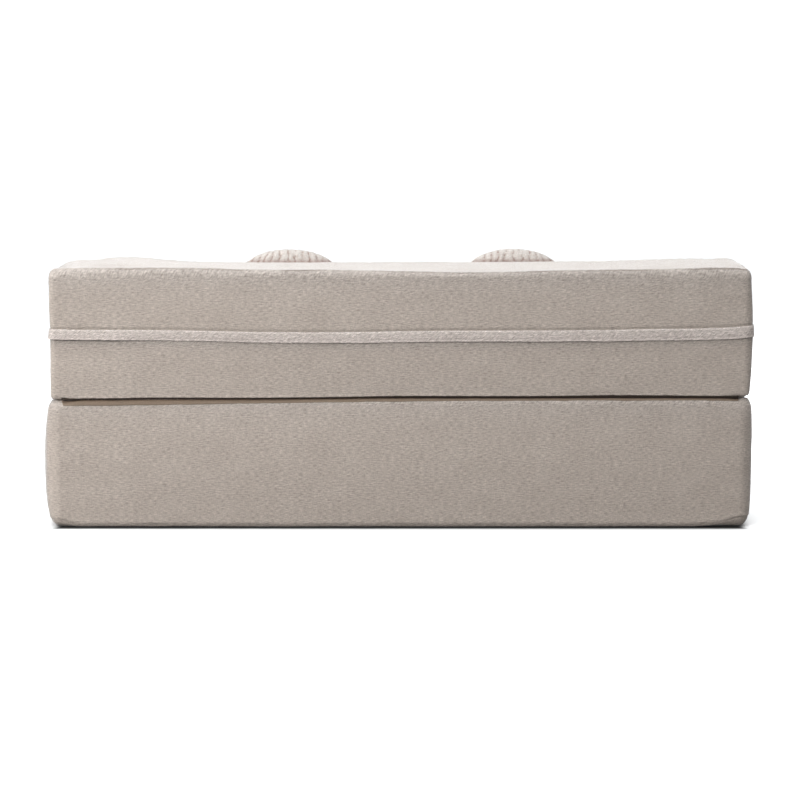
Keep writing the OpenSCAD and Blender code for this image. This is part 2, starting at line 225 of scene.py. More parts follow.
def add_tube_cloth(obj, along, across):
    """Flat places of a tube's points: along is a place for each point of a row, across one for each row."""
    m, n = len(across), len(along)
    add_cloth(obj, np.stack([np.tile(along, m), np.repeat(across, n), np.zeros(m * n)], axis=1))


def quads(sheet, flip):
    """Faces between the points of a sheet of point numbers."""
    corners = [sheet[:-1, :-1], sheet[1:, :-1], sheet[1:, 1:], sheet[:-1, 1:]]
    faces = np.stack(corners, axis=-1).reshape(-1, 4)
    return faces[:, ::-1] if flip else faces


def spaced(low, high, zones, coarse, through=()):
    """Grid lines from low to high, coarse but finer within each zone (from, to, step).

    The nearest line to each place in through is moved onto it.
    """
    lines = [low]
    while lines[-1] < high - 1e-9:
        here = lines[-1]
        step = min([coarse] + [s for a, b, s in zones if a - 1e-9 <= here < b - 1e-9])
        ahead = [a for a, b, s in zones if a > here + 1e-9] + [high]
        reach = min(ahead) - here
        lines.append(here + (reach / max(1, round(reach / step)) if reach < 3 * step else step))
    lines = np.array(lines)
    for place in through:
        lines[np.argmin(np.abs(lines - place))] = place
    return lines


def box_grid(xs, ys, zs):
    """Grid on the surface of a box: for each point its three line numbers, and faces seen from outside."""
    on = np.zeros((len(xs), len(ys), len(zs)), bool)
    on[0] = on[-1] = True
    on[:, 0] = on[:, -1] = True
    on[:, :, 0] = on[:, :, -1] = True
    index = np.full(on.shape, -1, np.int64)
    index[on] = np.arange(on.sum())
    faces = np.concatenate([
        quads(index[:, :, 0], True), quads(index[:, :, -1], False),
        quads(index[:, 0, :], False), quads(index[:, -1, :], True),
        quads(index[0, :, :], True), quads(index[-1, :, :], False)])
    return np.argwhere(on), faces


class Block:
    """Upholstered block: a box grid with round corners, and rolled edges that hold its seams.

    Lengths run from the block's middle in x and y, and from its underside in z. edges gives, for the
    lower and the upper edge, its radius along the sides, its radii at the front and the rear of the
    ends, and how far round it its seam lies, in degrees from the side face. crowns gives how far the
    ends at -X and +X, the front and the rear stand out. powers gives, for the ends at -X and at +X, how
    square they stay towards their lower and their upper seam.
    """

    # Distance from an end where the edges start to take its radii, and over what length they do
    END_FROM = 90 * MM
    END_BLEND = 70 * MM

    def __init__(self, low, high, corner_r, edges, crowns, powers, lines):
        self.middle = np.array([(low[0] + high[0]) / 2, (low[1] + high[1]) / 2, low[2]])
        self.a, self.b, self.h = (high[0] - low[0]) / 2, (high[1] - low[1]) / 2, high[2] - low[2]
        self.r, self.crowns, self.powers = corner_r, crowns, powers
        # How much painted highlight its lower edge gets, how much painted shade each point gets, and whether
        # it lies on the floor
        self.lip, self.shade, self.on_floor = 0, 0, 0
        places, self.faces = box_grid(*lines)
        x, y, z = (lines[k][places[:, k]] for k in range(3))
        self.x, self.y, self.z = x, y, z
        self.top, self.bottom = z >= self.h - 1e-9, z <= 1e-9
        self.cap = self.top | self.bottom
        upper = z > self.h / 2
        at_end = smooth((np.abs(x) - self.a + self.END_FROM) / self.END_BLEND)
        to_rear = smooth((y + self.b) / (2 * self.b))
        radii = [side + (end[0] + (end[1] - end[0]) * to_rear - side) * at_end for side, end, _ in edges]
        e = np.where(upper, radii[1], radii[0])
        seam = np.radians(np.where(upper, edges[1][2], edges[0][2]))
        below, above = e * seam, e * (np.pi / 2 - seam)
        up = np.where(upper, self.h - z, z)
        m = np.minimum(self.a - np.abs(x), self.b - np.abs(y))
        turn = np.where(self.cap, seam + (np.pi / 2 - seam) * np.minimum(1, m / above),
                        seam * (1 - np.minimum(1, up / below)))
        onward = np.where(m < self.r, e + (m - above) * (self.r - e) / (self.r - above), m)
        inset = np.where(self.cap & (m > above), onward, e * (1 - np.cos(turn)))
        half = self.h / 2
        depth = np.where(~self.cap & (up > below), e + (up - below) * (half - e) / (half - below),
                         e * (1 - np.sin(turn)))
        self.turn, self.upper = turn, upper
        self.from_seam = np.where(self.cap, m, up)
        level = np.where(upper, self.h - depth, depth)
        px, py = self.plan(x, y, inset)
        self.points = np.stack([*self.swollen(px, py, level), level], axis=1)
        self.along = np.where(self.a - np.abs(x) < self.b - np.abs(y), y, x)

    def plan(self, x, y, inset):
        """Place in plan of points of the plain box, once its corners are round and it is drawn in."""
        cx, cy = self.a - self.r, self.b - self.r
        dx, dy = np.abs(x) - cx, np.abs(y) - cy
        low, high = np.minimum(dx, dy), np.maximum(dx, dy)
        lean = math.pi / 4 * np.clip(low / np.maximum(high, 1e-9), 0, 1)
        angle = np.where(dx >= dy, lean, math.pi / 2 - lean)
        rho = np.maximum(self.r - inset, 0)
        corner = (dx > 0) & (dy > 0)
        px = np.where(corner, cx + rho * np.cos(angle), np.where(dx > 0, cx + rho, np.abs(x)))
        py = np.where(corner, cy + rho * np.sin(angle), np.where(dy > 0, cy + rho, np.abs(y)))
        return np.sign(x) * px, np.sign(y) * py

    def swollen(self, x, y, z):
        """Points pushed out by the crowns of the ends (at -X, at +X), the front and the rear."""
        ends, front, rear = self.crowns
        t = 2 * z / self.h - 1
        fullness = [np.where(t > 0, full(t, upper), full(t, lower)) for lower, upper in self.powers]
        out_x = np.where(x < 0, ends[0] * fullness[0], ends[1] * fullness[1]) * full(y / self.b, 8)
        out_y = np.where(y < 0, front, rear) * full(t, 2) * full(x / self.a, 6)
        return (x + np.sign(x) * out_x * np.minimum(1, np.abs(x / self.a)) ** 8,
                y + np.sign(y) * out_y * np.minimum(1, np.abs(y / self.b)) ** 8)

    def side_point(self, u, z):
        """Point of the side, and its normal, at a distance u round it from the rear's middle towards +X."""
        def at(u):
            s, over = np.sign(u), np.abs(u) - self.a
            x = s * np.minimum(np.abs(u), self.a)
            y = self.b - np.maximum(over, 0)
            return np.stack(self.swollen(*self.plan(x, y, 0.0 * x), z), axis=1)
        here = at(u)
        ahead = at(u + MM) - at(u - MM)
        out = np.stack([-ahead[:, 1], ahead[:, 0]], axis=1)
        return here, out / np.linalg.norm(out, axis=1, keepdims=True)

    def cloth(self):
        """Flat place of each point: round the sides and up them, or across a cap from its rear seam."""
        x, y, z, a, b = self.x, self.y, self.z, self.a, self.b
        round_it = np.where(y > b - 1e-9, x, np.where(x > a - 1e-9, a + b - y,
                            np.where(y < -b + 1e-9, 2 * a + 2 * b - x, y - a - b)))
        u = np.where(self.cap, x, round_it)
        v = np.where(self.top, self.h + b - y, np.where(self.bottom, y - b, z))
        return np.stack([u, v, 0 * u], axis=1)

    def raise_upper(self, rise):
        """Lifts the upper edge and the top by a rise, which fades down the rolled edge."""
        self.points[:, 2] += np.where(self.upper, np.sin(self.turn), 0) * rise

    def push(self, amount):
        """Moves every point out along its normal."""
        self.points += normals(self.points, self.faces) * amount[:, None]

    def build(self, name, gone):
        """The block as an object in the row frame, without the faces whose points are all in gone."""
        faces = self.faces[~gone[self.faces].all(axis=1)]
        used = np.zeros(len(self.points), bool)
        used[faces] = True
        new = np.cumsum(used) - 1
        obj = new_mesh(name, (self.points + self.middle)[used], new[faces])
        add_cloth(obj, self.cloth()[used])
        # Dark seam thread with painted shade in the groove along the upper seam, and some of the painted
        # shade under the flap
        showing = 0.55 + 0.75 * noise(self.along / 0.09, 0 * self.along, self.h, 9)
        seam_line = np.clip(showing, 0.1, 1) * bell(self.from_seam / (2.2 * MM)) * self.upper
        add_number(obj, "seam_and_painted_shade", np.maximum(seam_line, 0.25 * self.shade)[used])
        # Where painted light and shade of creases show: near the upper seam, and under the flap
        painted_crease_light = np.where(self.upper, np.exp(-self.from_seam / (32 * MM)), 0)
        add_number(obj, "painted_crease_light", np.maximum(painted_crease_light, self.shade)[used])
        # The flat underside, away from its edges, is coloured almost black
        flat = self.bottom * smooth((self.from_seam - 20 * MM) / (10 * MM))
        add_number(obj, "under", (self.on_floor * flat)[used])
        # Painted highlight along the lower edge of a block whose lip catches the light
        low_edge = ~self.cap & ~self.upper & (self.z < 20 * MM)
        add_number(obj, "wear_and_highlight", np.where(low_edge, self.lip * bell(self.z / (5 * MM)), 0)[used])
        return obj


def seam_relief(along, distance, groove, pucker, reach, seed):
    """Height of the cloth beside a sewn seam: a groove at the seam, a roll beside it and gathered folds."""
    slanted = along + 0.8 * distance
    folds = 0.5 * noise(slanted / (13 * MM), distance / (26 * MM), 0, seed)
    folds += 0.5 * noise(slanted / (7 * MM), distance / (12 * MM), 0, seed + 1)
    depth = 0.8 + 0.35 * ripple(along, 30 * MM, seed + 2)
    return (pucker * folds * np.exp(-distance / reach)
            - groove * depth * bell(distance / (2.4 * MM))
            + 0.2 * groove * bell((distance - 10 * MM) / (9 * MM)))


def crinkle(cloth, size, slant, seed):
    """Short slanted creases in the pile, from -1 to 1. size is how long and how wide they are."""
    u, v = cloth[:, 0], cloth[:, 1]
    c, s = math.cos(slant), math.sin(slant)
    return noise((u * c + v * s) / size[0], (v * c - u * s) / size[1], 0, seed)


# Base and backrest

BASE_LOW, BASE_HIGH = seam_box("base_liner")
BACK_LOW, BACK_HIGH = seam_box("backrest_liner")
BASE_END_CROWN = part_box("base_cover")[1].x - BASE_HIGH[0]
SEAT_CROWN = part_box("base_cover")[1].z - BASE_HIGH[2]
BACK_DEPTH = BACK_HIGH[1] - BACK_LOW[1]
FLAP_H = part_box("zip_flap_rear")[1].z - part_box("zip_flap_rear")[0].z
FLAP_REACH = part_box("zip_flap_right")[1].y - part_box("zip_flap_right")[0].y

# Lines along the rear, from the photograph: places along X in metres, and heights in millimetres.
# The backrest's top and its rear seam are over its packed seams. The flap's seam and the joint
# between the blocks are over their places in the CAD. The hinge's facing is over the floor.
TOP_LINE = [(-0.94, 9), (-0.915, 18), (-0.895, 18.5), (-0.865, 17), (-0.82, 17.5), (-0.70, 15.5), (-0.59, 12),
            (-0.40, 9), (0, 7.5), (0.434, 7.5), (0.60, 11), (0.66, 15), (0.70, 19.5), (0.742, 21.5),
            (0.80, 20.5), (0.853, 14), (0.90, 12.5), (0.94, 5)]
REAR_SEAM_LINE = [(-0.94, 11), (-0.90, 15), (-0.848, 16.2), (-0.795, 15.2), (-0.66, 12.2), (-0.53, 11),
                  (-0.40, 8.7), (-0.265, 4.8), (-0.16, 3.9), (0, 7), (0.21, 10.8), (0.40, 11.5), (0.53, 15),
                  (0.72, 15.5), (0.85, 15), (0.94, 11)]
FLAP_LINE = [(-0.94, 17.5), (-0.888, 12.8), (-0.82, 10.2), (-0.66, 7.7), (-0.53, 5.2), (-0.265, 3.8),
             (0, 1.8), (0.13, -0.7), (0.27, -0.6), (0.40, 0.2), (0.53, 3.3), (0.72, 5.5), (0.90, 6.2),
             (0.94, 7)]
GAP_LINE = [(-0.94, 6.8), (-0.845, 6.6), (-0.66, 8.4), (-0.53, 8.2), (-0.40, 6.6), (-0.132, 6.3), (0, 6.6),
            (0.132, 4.2), (0.264, 2.4), (0.53, 1.6), (0.66, 2.0), (0.792, -0.3), (0.845, -0.5), (0.892, -2),
            (0.94, -3)]
FACING_LINE = [(-0.92, 341), (0, 339), (0.3, 336), (0.5, 333), (0.7, 330), (0.92, 328)]

# Unevenness of the padding and of the base's foot, as layers of noise
BASE_SWELL = [(1.4 * MM, (0.31, 0.31, 0.19), 20), (0.5 * MM, (0.09, 0.09, 0.07), 21)]
FOOT_WAVER = [(0.9 * MM, (0.16, 0.16, 1), 23), (0.4 * MM, (0.05, 0.05, 1), 24)]
BACK_SWELL = [(1.0 * MM, (0.27, 0.2, 0.15), 40), (0.5 * MM, (0.08, 0.08, 0.06), 41)]


def flap_line(x):
    return MM * curve(x, FLAP_LINE)


def gap_line(x):
    return MM * curve(x, GAP_LINE)


def seat_rise(x, y, block):
    """Low crown of the seat, which ends in front of the backrest."""
    t = (y + block.b) / (2 * block.b - BACK_DEPTH - SEAT_FLAT)
    return np.where((t > 0) & (t < 1), SEAT_CROWN * full(x / block.a, 6) * (4 * t * (1 - t)) ** 2, 0)


def back_rise(x, y, block):
    """Top of the backrest: puffed near both ends, with a rear seam that climbs to the ends."""
    seam_zone, blend = 100 * MM, 90 * MM
    rear = smooth((y - block.b + seam_zone) / blend)
    return MM * (rear * curve(x, REAR_SEAM_LINE) + (1 - rear) * curve(x, TOP_LINE))


def foot_lift(x, y):
    """How far the foot of the base's cover stands off the floor, which is most at its ends."""
    least, at_left, at_right = 0.3 * MM, 4 * MM, 13 * MM
    lift = least + uneven(x, y, 0, FOOT_WAVER)
    return lift + at_left * smooth((x - 0.86) / 0.06) + at_right * smooth((-x - 0.78) / 0.15)


def make_base():
    size = BASE_HIGH - BASE_LOW
    a, b = size[0] / 2, size[1] / 2
    edge = 30 * MM
    border = (BORDER_W - b, b - BORDER_W)
    lines = (
        spaced(-a, a, [], 4.1 * MM, (BORDER_W - a, a - BORDER_W)),
        spaced(-b, b, [(-b, edge - b, 5 * MM), (b - edge, b, 4 * MM)], 17 * MM, border),
        spaced(0, size[2], [(0, MM, MM), (MM, edge, 4 * MM), (size[2] - edge, size[2], 3 * MM)], 9 * MM))
    foot_edge = (9 * MM, (9 * MM, 20 * MM), 18)
    seat_edge = (BASE_TOP_EDGE_R, (18 * MM, 34 * MM), 55)
    crowns = ((BASE_END_CROWN - 12 * MM, BASE_END_CROWN + 2 * MM), 5 * MM, 5 * MM)
    powers = ((3, 4), (4, 2.4))
    block = Block(BASE_LOW, BASE_HIGH, BASE_CORNER_R, (foot_edge, seat_edge), crowns, powers, lines)
    block.on_floor = 1
    x, y, z = block.points.T
    block.raise_upper(seat_rise(x, y, block))
    groove, pucker, reach = 1.6 * MM, 0.9 * MM, 26 * MM
    relief = seam_relief(block.along, block.from_seam, groove, pucker, reach, 10)
    soft = uneven(x, y, z, BASE_SWELL)
    soft += 0.25 * MM * crinkle(block.cloth(), (30 * MM, 12 * MM), 0.4, 22)
    # The backrest and the floor press the cloth flat
    flat = block.bottom | (block.top & (y > block.b - BACK_DEPTH - 20 * MM))
    padded = relief + soft * smooth(block.from_seam / (20 * MM))
    block.push(np.where(flat, np.minimum(0, relief), padded))
    near_foot = bell(block.from_seam / np.where(block.cap, 16 * MM, 22 * MM))
    block.points[:, 2] += np.where(block.upper, 0, foot_lift(x, y) * near_foot)
    block.points[:, 2] = np.maximum(block.points[:, 2], 0)
    # The rear shoulder follows the joint between the blocks
    shoulder = np.where(block.upper & (y > block.b - 40 * MM), bell((block.turn - 0.75) / 0.42), 0)
    block.points[:, 2] += gap_line(x) * shoulder
    inward = np.minimum(block.a - np.abs(block.x), block.b - np.abs(block.y))
    obj = block.build("base_upholstery", gone=block.bottom & (inward > BORDER_W - 1e-6))
    hem(obj, (0, 0, 3 * MM))
    return obj, block


def make_backrest():
    size = BACK_HIGH - BACK_LOW
    a, b = size[0] / 2, size[1] / 2
    zip_low, zip_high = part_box("backrest_zip_tapes")
    zip_z = (zip_low.z + zip_high.z) / 2 - BACK_LOW[2]
    slot = (zip_z - ZIP_SLOT_H / 2, zip_z + ZIP_SLOT_H / 2)
    flap_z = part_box("zip_flap_rear")[1].z - BACK_LOW[2]
    zones = [(0, 1.6 * MM, 0.8 * MM), (1.6 * MM, 14 * MM, 3 * MM),
             (flap_z - 4 * MM, flap_z + 24 * MM, 2.5 * MM), (size[2] - 42 * MM, size[2], 3 * MM)]
    lines = (
        spaced(-a, a, [], 4.2 * MM, (zip_low.x, zip_high.x)),
        spaced(-b, b, [(-b, 12 * MM - b, 4 * MM), (b - 24 * MM, b, 3 * MM)], 14 * MM),
        spaced(0, size[2], zones, 9 * MM, slot))
    lower_edge = (2 * MM, (5 * MM, 8 * MM), 60)
    upper_edge = (9 * MM, (12 * MM, 12 * MM), 68)
    crowns = ((11 * MM, 0.5 * MM), 10 * MM, 3 * MM)
    powers = ((2, 2), (2, 2))
    block = Block(BACK_LOW, BACK_HIGH, BACK_CORNER_R, (lower_edge, upper_edge), crowns, powers, lines)
    # Its lower rear lip gets a painted highlight
    block.lip = 1
    x, y, z = block.points.T
    block.raise_upper(back_rise(x, y, block))
    # The flap's seam draws the cloth in, and painted shade darkens what lies just under the flap
    above_flap = z - flap_line(np.clip(x, -a, a)) - flap_z
    below_flap = -above_flap - FLAP_H
    by_flap = ~block.cap & (block.y > -b + 1e-9) & (b - block.y < FLAP_REACH)
    painted_shade = by_flap & (below_flap > -FLAP_H / 2)
    block.shade = np.where(painted_shade, np.exp(-np.maximum(0, below_flap) / (13 * MM)), 0)
    groove, pucker, reach = 1.5 * MM, 1.2 * MM, 26 * MM
    relief = seam_relief(block.along, block.from_seam, groove, pucker, reach, 30)
    relief *= np.where(block.upper, 1, 0.3)
    relief -= np.where(by_flap, 2.2 * MM * bell((above_flap - MM) / (3.5 * MM)), 0)
    relief += np.where(block.cap, 0, 1.6 * MM * np.exp(-block.z / (4 * MM)))
    near_top = np.where(block.upper, np.exp(-block.from_seam / (45 * MM)), 0)
    soft = uneven(x, y, z, BACK_SWELL)
    soft += (0.2 + 0.5 * near_top) * MM * crinkle(block.cloth(), (24 * MM, 10 * MM), 0.45, 42)
    padded = relief + soft * smooth(block.from_seam / (12 * MM))
    block.push(np.where(block.bottom, np.minimum(0, relief), padded))
    # The rear lip hangs down to the joint between the blocks
    hangs = ~block.upper & (block.y > 60 * MM - b)
    near_lip = bell(block.from_seam / np.where(block.cap, 7 * MM, 16 * MM))
    block.points[:, 2] -= np.where(hangs, LIP_DROP * bell(block.from_seam / (3 * MM)), 0)
    block.points[:, 2] += np.where(hangs, gap_line(x) * near_lip, 0)
    behind = ~block.cap & (block.y > b - 1e-9)
    open_z = (block.z > slot[0] - 1e-6) & (block.z < slot[1] + 1e-6)
    open_x = (block.x > zip_low.x - 1e-6) & (block.x < zip_high.x + 1e-6)
    obj = block.build("backrest_upholstery", gone=behind & open_z & open_x)
    hem(obj, (0, -3 * MM, 0))
    return obj, block


# Flap over the backrest's zip

def make_flap(block):
    """Folded flap, sewn on along its upper edge, that stands off the rear and both ends."""
    end_low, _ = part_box("zip_flap_right")
    reach = block.a + block.b - (end_low.y - block.middle[1])
    u = np.linspace(-reach, reach, 620)
    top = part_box("zip_flap_rear")[1].z - block.middle[2] + flap_line(np.clip(u, -block.a, block.a))
    top += 0.5 * MM * ripple(u, 0.07, 50)
    height = FLAP_H - 1.2 * MM - 2.6 * MM * u + 0.6 * MM * ripple(u, 0.09, 51)
    lift = 0.9 * MM + 0.5 * MM * ripple(u, 0.13, 52) + 1.5 * MM * smooth((u - 0.70) / 0.08)
    end = smooth((reach - np.abs(u)) / (6 * MM))
    # Each row's share of the way down, and its side: 1 outside, -1 inside
    outer, fold, inner = 11, 4, 5
    turn = np.linspace(0.6, math.pi - 0.6, fold)
    down = np.concatenate([np.linspace(0, 1, outer), np.ones(fold), np.linspace(1, 0.08, inner)])
    side = np.concatenate([np.ones(outer), np.cos(turn), -np.ones(inner)])
    rows = []
    for d, s in zip(down, side):
        z = top - d * height - FLAP_T / 2 * math.sqrt(max(0, 1 - s * s))
        here, out = block.side_point(u, z)
        thick = FLAP_T * (0.35 + 0.65 * smooth(d / 0.12)) * (0.5 + 0.5 * end)
        puff = 0.35 * MM * ripple(u, 13 * MM, 53, d * 1.3)
        puff += 0.2 * MM * ripple(u, 6 * MM, 54, d * 2)
        stitch = 0.5 * MM * bell(((1 - d) * height - 6.5 * MM) / (1.5 * MM))
        off = 0.3 * MM + lift * d ** 1.4 + thick * (0.5 + 0.5 * s) + np.where(s > 0, puff - stitch, 0)
        rows.append(np.column_stack([here + out * off[:, None], z]))
    rows = np.array(rows)
    m, n = rows.shape[:2]
    obj = new_tube("zip_flap", rows + block.middle)
    add_tube_cloth(obj, u, -lengths(rows[:, n // 2]))
    # Painted highlight along the flap's lower fold
    add_number(obj, "wear_and_highlight", np.repeat(bell((1 - down) / 0.07), n))
    add_number(obj, "seam_and_painted_shade", np.repeat(0.3 * bell((1 - down - 0.24) / 0.06), n))
    add_number(obj, "under", np.zeros(m * n))
    # Painted light and shade of creases over the whole flap
    add_number(obj, "painted_crease_light", np.full(m * n, 0.7))
    return obj


# Cloth hinge between the blocks

def hinge_section(front):
    """Middle line of the hinge's section: the base's leaf, the piping and the backrest's leaf.

    Its points give how far behind the axis and how far above it they lie.
    """
    gap = 0.75 * MM
    start = math.asin(gap / PIPING_R)
    arc = np.linspace(math.pi - start, start - math.pi, 15)
    leaf = [(y, -gap) for y in np.linspace(front, -8 * MM, 6)] + [(-4 * MM, -gap)]
    piping = [(PIPING_R * math.cos(t), -PIPING_R * math.sin(t)) for t in arc if abs(t) < 2.2]
    return np.array(leaf + piping + [(y, -z) for y, z in reversed(leaf)])


def make_hinge():
    """The hinge's cloth, with its piping tucked behind the backrest's lip."""
    low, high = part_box("hinge_leaf_base")
    fold = [j for j in frame["joints"] if j["name"] == "backrest_fold"][0]
    axis_y, axis_z = fold["pos_m"][1:]
    leaf_t = 0.7 * MM
    sag, tuck_from, tuck = 2.8 * MM, 8 * MM, 0.12
    line = hinge_section(low.y - axis_y)
    way = np.gradient(line, axis=0)
    way /= np.linalg.norm(way, axis=1, keepdims=True)
    out = np.stack([way[:, 1], -way[:, 0]], axis=1)
    section = np.concatenate([line + out * leaf_t / 2, (line - out * leaf_t / 2)[::-1]])
    x = np.linspace(low.x, high.x, 260)
    rows = []
    for y, z in section:
        wave = 0.25 * MM * ripple(x, 0.05, 60, y / 0.02)
        wave += (gap_line(x) - sag) * smooth((y + 7 * MM) / (5 * MM))
        tucked = y if y < -tuck_from else tuck * (y + tuck_from) - tuck_from
        level = axis_z + z + np.where(y < -7 * MM, 0, wave)
        rows.append(np.column_stack([x, axis_y + tucked + 0 * x, level]))
    obj = new_tube("hinge_strip", np.array(rows))
    add_tube_cloth(obj, x, lengths(section))
    return obj, (axis_y, axis_z)


# Rows round the facing: their share of its depth, and how far out they lie as a share of its thickness
FACING_ROWS = [(0, 0.6), (0.3, 1), (0.6, 1), (0.85, 1), (0.97, 0.9), (1, 0.3), (0.97, -0.6), (0.5, -0.6)]
FACING_HALF_L = 905 * MM
FACING_TOP = 1.2 * MM


def make_facing(base, block, edge_r):
    """Cloth facing that the hinge is sewn to, laid on the base's rear upper edge, dark brown with painted
    shade of the recess under the backrest.
    """
    surface = BVHTree.FromObject(base, bpy.context.evaluated_depsgraph_get())
    x = np.linspace(-FACING_HALF_L, FACING_HALF_L, 400)
    end = smooth((FACING_HALF_L - np.abs(x)) / (5 * MM))
    depth = block.h - MM * curve(x, FACING_LINE) + 0.5 * MM * ripple(x, 0.04, 65)
    depth = 8 * MM + (depth - 8 * MM) * end
    rows = []
    for share, off in FACING_ROWS:
        row = []
        for place, deep in zip(x, FACING_TOP + (depth - FACING_TOP) * share):
            up = max(0, 1 - deep / edge_r)
            out = Vector((0, math.sqrt(1 - up * up), up))
            centre = Vector((place, block.b - edge_r, block.h - max(deep, edge_r))) + Vector(block.middle)
            row.append(surface.ray_cast(centre + out * (edge_r + 0.03), -out)[0] + out * FACING_T * off)
        rows.append(row)
    rows = np.array(rows)
    highest = block.h + block.middle[2] - 1.5 * MM + gap_line(x)
    rows[0, :, 2] = rows[1, :, 2] = np.minimum(rows[1, :, 2], highest)
    obj = new_tube("hinge_facing", rows)
    # Each row's share of the depth, which the material turns into painted shade, darkest at the top by the
    # joint
    add_number(obj, "depth", np.repeat([share for share, _ in FACING_ROWS], len(x)))
    return obj


# Loose cushions

RIB_COUNT = 16
RIB_DEPTH = 3.2 * MM
PILLOW_STEPS = 56
CUSHION_ZIP_L = 256 * MM
TOOTH = 1.3 * MM


def pillow_points(u, v, half):
    """Points of a pillow's front half over the square -1..1, on round outlines that meet at its seam."""
    x, z = u * np.sqrt(1 - v * v / 2), v * np.sqrt(1 - u * u / 2)
    rho = np.minimum(1, np.hypot(x, z))
    angle = np.arctan2(z, x)
    power = 2.1
    wide = (np.abs(np.cos(angle)) ** power + np.abs(np.sin(angle)) ** power) ** (-1 / power)
    depth = half[1] * full(rho, 2.5) ** 0.6
    return np.stack([x * wide * half[0], -depth, z * wide * half[2]], axis=-1)


def pillow_mesh(name, half):
    """Closed pillow of two square grids that share their rim, with each point's place across and up it."""
    n = PILLOW_STEPS
    t = np.linspace(-1, 1, n + 1)
    u, v = np.meshgrid(t, t, indexing="ij")
    front = pillow_points(u, v, half)
    rear = front * [1, -1, 1]
    rim = np.maximum(np.abs(u), np.abs(v)) > 1 - 1e-9
    front_index = np.arange((n + 1) ** 2).reshape(n + 1, n + 1)
    rear_index = front_index.copy()
    rear_index[~rim] = (n + 1) ** 2 + np.arange((~rim).sum())
    points = np.concatenate([front.reshape(-1, 3), rear[~rim]])
    faces = np.concatenate([quads(front_index, False), quads(rear_index, True)])
    obj = new_mesh(name, points, faces)
    add_number(obj, "across", np.concatenate([u.ravel(), u[~rim]]))
    add_number(obj, "up", np.concatenate([v.ravel(), v[~rim]]))
    return obj


def read_number(mesh, name):
    values = np.empty(len(mesh.vertices), np.float32)
    mesh.attributes[name].data.foreach_get("value", values)
    return values.astype(float)


def read_points(mesh):
    points = np.empty(len(mesh.vertices) * 3, np.float32)
    mesh.vertices.foreach_get("co", points)
    return points.reshape(-1, 3).astype(float)


def inflate(obj, pressure, frames, most):
    """Blows a closed cloth up by simulation, moves no point further than most, and keeps the result."""
    before = read_points(obj.data)
    cloth = obj.modifiers.new("Cloth", "CLOTH")
    settings = cloth.settings
    settings.quality = 6
    settings.mass = 0.2
    settings.tension_stiffness = settings.compression_stiffness = 12
    settings.shear_stiffness = 4
    settings.bending_stiffness = 0.3
    settings.shrink_min = -0.05
    settings.use_pressure = True
    settings.uniform_pressure_force = pressure
    settings.effector_weights.gravity = 0
    cloth.collision_settings.use_collision = False
    cloth.point_cache.frame_start, cloth.point_cache.frame_end = 1, frames
    for number in range(1, frames + 1):
        scene.frame_set(number)
    shown = obj.evaluated_get(bpy.context.evaluated_depsgraph_get())
    moved = read_points(shown.data) - before
    obj.modifiers.remove(cloth)
    scene.frame_set(1)
    length = np.linalg.norm(moved, axis=1, keepdims=True)
    moved *= np.minimum(1, most / np.maximum(length, 1e-9))
    obj.data.vertices.foreach_set("co", (before + moved).astype(np.float32).ravel())
    obj.data.update()


def make_pillow():
    """Upright pillow, simulated and smoothed, as points, faces and places on the cloth."""
    half = np.array(CUSHION_SIZE) / 2
    start_share = [0.97, 0.86, 0.97]
    fuller = [9 * MM, 0, 5 * MM]
    obj = pillow_mesh("pillow", half * start_share)
    inflate(obj, 4, 20, 22 * MM)
    smoother = obj.modifiers.new("Smooth", "SUBSURF")
    smoother.levels = 1
    shown = obj.evaluated_get(bpy.context.evaluated_depsgraph_get())
    mesh = bpy.data.meshes.new_from_object(shown)
    points = read_points(mesh)
    points *= (half + fuller) / np.abs(points).max(axis=0)
    faces = np.array([list(p.vertices) for p in mesh.polygons])
    u, v = read_number(mesh, "across"), read_number(mesh, "up")
    bpy.data.meshes.remove(mesh)
    bpy.data.objects.remove(obj)
    return points, faces, u, v


def leaned_back(points, node):
    """Points of an upright cushion, leaned back in the place of a cushion's cover."""
    low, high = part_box(node)
    aside = Vector((-12 * MM if low.x > 0 else -5 * MM, 0, 0))
    c, s = math.cos(CUSHION_LEAN), math.sin(CUSHION_LEAN)
    x, y, z = points.T
    return np.stack([x, y * c + z * s, z * c - y * s], axis=1) + np.array((low + high) / 2 + aside)


def clear_of(points, node, gap):
    """Points drawn out from the middle of a node, as far as gap outside it."""
    obj = frame["nodes"][node]
    corners = [obj.matrix_world @ v.co for v in obj.data.vertices]
    surface = BVHTree.FromPolygons(corners, [list(p.vertices) for p in obj.data.polygons])
    low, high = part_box(node)
    middle = (low + high) / 2
    moved = []
    for place in points:
        way = Vector(place) - middle
        out = way.normalized()
        least = (surface.ray_cast(middle + out, -out)[0] - middle).length + gap
        moved.append(middle + out * max(least, way.length))
    return np.array(moved)


